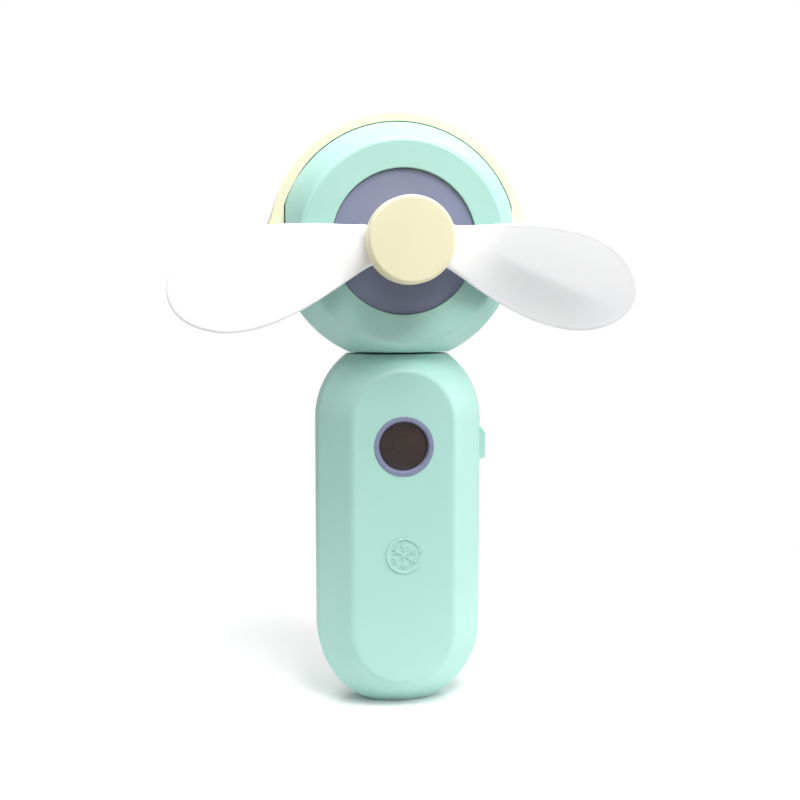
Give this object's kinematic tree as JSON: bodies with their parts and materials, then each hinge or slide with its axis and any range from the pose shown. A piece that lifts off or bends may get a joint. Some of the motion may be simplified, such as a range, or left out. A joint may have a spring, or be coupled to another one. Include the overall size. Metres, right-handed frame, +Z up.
{
  "type": "handheld electric fan",
  "caption": "Pocket fan with folding paddle blades on a round tilting head, a swing-back bail and a flat chamfered grip with a lamp window and side button.",
  "frame": {"origin": "centre of the flat foot at the lower end of the grip", "axes": "+Z up the grip towards the head, -Y out of the face with the blades, +X to the right as seen from the front"},
  "size_m": [0.1094, 0.0384, 0.1435],
  "materials": {
    "mint_plastic": "satin moulded ABS",
    "cream_plastic": "satin moulded ABS",
    "white_blade": "smooth moulded polypropylene",
    "slate_plastic": "fine satin moulded ABS",
    "smoked_plastic": "polished smoked polycarbonate",
    "reflector": "vacuum-metallised",
    "led_white": "moulded LED package",
    "steel": "zinc-plated steel",
    "bronze": "sintered bronze",
    "copper": "enamelled copper windings",
    "magnet": "sintered ferrite",
    "circuit_board": "solder-masked glass epoxy",
    "black_plastic": "moulded",
    "foam": "closed-cell foam",
    "cell_wrap": "shrink-wrapped cell",
    "lead_sleeve": "insulated wire"
  },
  "bodies": {
    "grip": {"grip_front_shell": "mint_plastic", "grip_back_shell": "mint_plastic", "grip_screws": "steel", "lamp_bezel": "slate_plastic", "lamp_lens": "smoked_plastic", "lamp_reflector": "reflector", "lamp_led": "led_white", "badge": "mint_plastic", "main_board": "circuit_board", "board_screws": "steel", "control_chips": "black_plastic", "button_switch": "black_plastic", "battery_cell": "cell_wrap", "battery_tabs": "steel", "battery_pad": "foam", "usb_socket": "steel", "usb_board": "circuit_board", "tilt_pin": "steel"},
    "button": {"side_button": "mint_plastic"},
    "head": {"head_front_shell": "mint_plastic", "head_back_shell": "mint_plastic", "head_screws": "steel", "motor_cover": "slate_plastic", "motor_can": "steel", "motor_end_cap": "black_plastic", "motor_magnets": "magnet", "motor_bushes": "bronze", "motor_screws": "steel", "motor_leads": "lead_sleeve", "bail_pins": "steel"},
    "rotor": {"motor_shaft": "steel", "motor_armature": "copper", "hub_base": "cream_plastic", "hub_cap": "cream_plastic", "hub_screw": "steel", "blade_pins": "steel"},
    "left_blade": {"blade_left": "white_blade"},
    "right_blade": {"blade_right": "white_blade"},
    "bail": {"bail": "cream_plastic"}
  },
  "joints": [
    {"name": "head_tilt", "type": "hinge", "parent": "grip", "child": "head", "pos_m": [0, 0.008, 0.086], "axis": [-1, 0, 0], "range_deg": [0, 50]},
    {"name": "rotor_spin", "type": "hinge", "parent": "head", "child": "rotor", "pos_m": [0, -0.017, 0.11232], "axis": [0, -1, 0], "continuous": true},
    {"name": "blade_left_fold", "type": "hinge", "parent": "rotor", "child": "left_blade", "pos_m": [-0.0058, -0.017, 0.11232], "axis": [0, -1, 0], "range_deg": [-15.5, 59.5]},
    {"name": "blade_right_fold", "type": "hinge", "parent": "rotor", "child": "right_blade", "pos_m": [0.0058, -0.017, 0.11232], "axis": [0, 1, 0], "range_deg": [-15.5, 59.5]},
    {"name": "bail_swing", "type": "hinge", "parent": "head", "child": "bail", "pos_m": [0, 0, 0.11232], "axis": [-1, 0, 0], "range_deg": [0, 110]},
    {"name": "button_press", "type": "slide", "parent": "grip", "child": "button", "axis": [-1, 0, 0], "range_m": [0, 0.0008], "stiffness_N_per_m": 500, "springref_m": -0.0006}
  ]
}
